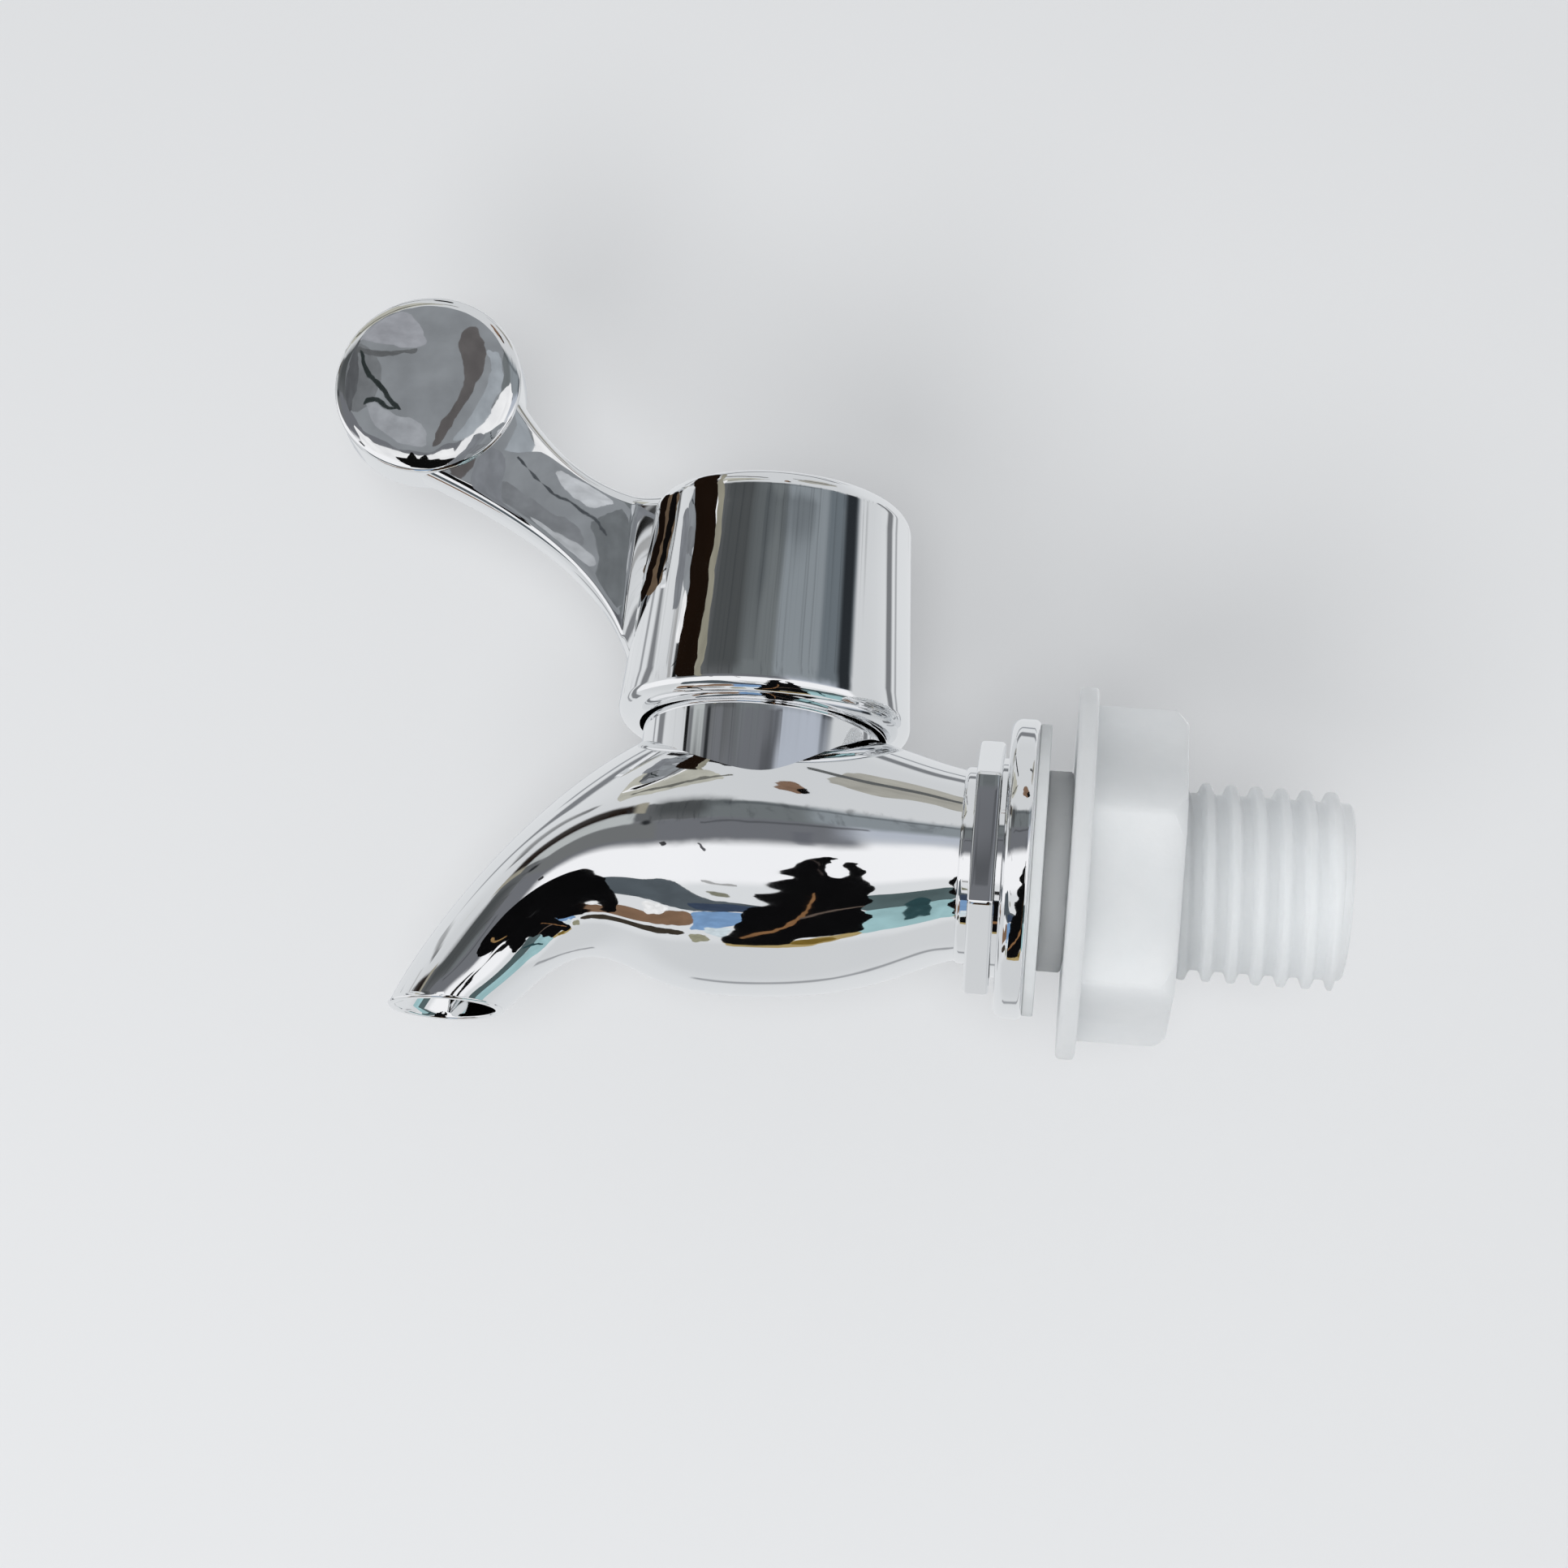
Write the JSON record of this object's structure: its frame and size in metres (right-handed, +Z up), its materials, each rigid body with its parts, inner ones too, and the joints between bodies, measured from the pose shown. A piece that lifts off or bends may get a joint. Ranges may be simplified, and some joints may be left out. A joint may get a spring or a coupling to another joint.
{
  "type": "dispenser tap",
  "caption": "Plated plastic drinks dispenser tap with a quarter-turn lever, a curved spout, and a threaded plastic inlet with a flanged lock nut.",
  "frame": {"origin": "on the inlet axis, on the gasket face that meets the outside of the tank wall", "axes": "+X along the inlet shank into the tank, +Z up along the valve axis, the spout and the resting lever towards -X, -Y towards the viewer of the picture"},
  "size_m": [0.0872, 0.0302, 0.0615],
  "materials": {
    "plated_plastic": "polished",
    "natural_plastic": "translucent satin",
    "grey_silicone": "satin",
    "clear_silicone": "satin",
    "black_rubber": "satin",
    "white_plastic": "satin"
  },
  "bodies": {
    "fixed": {"tap_body": "plated_plastic", "inlet_shank": "natural_plastic", "shank_o_ring": "black_rubber", "inlet_seal": "clear_silicone", "flange_gasket": "grey_silicone", "slip_washer": "white_plastic", "gland_ring": "white_plastic"},
    "lever": {"handle": "plated_plastic", "valve_spindle": "white_plastic", "spindle_o_ring_lower": "black_rubber", "spindle_o_ring_upper": "black_rubber"},
    "nut": {"lock_nut": "natural_plastic"}
  },
  "joints": [
    {"name": "lever_turn", "type": "hinge", "parent": "fixed", "child": "lever", "pos_m": [-0.0237, 0, 0], "axis": [0, 0, 1], "range_deg": [-90, 90]},
    {"name": "nut_travel", "type": "slide", "parent": "fixed", "child": "nut", "axis": [1, 0, 0], "range_m": [0, 0.0132]}
  ]
}
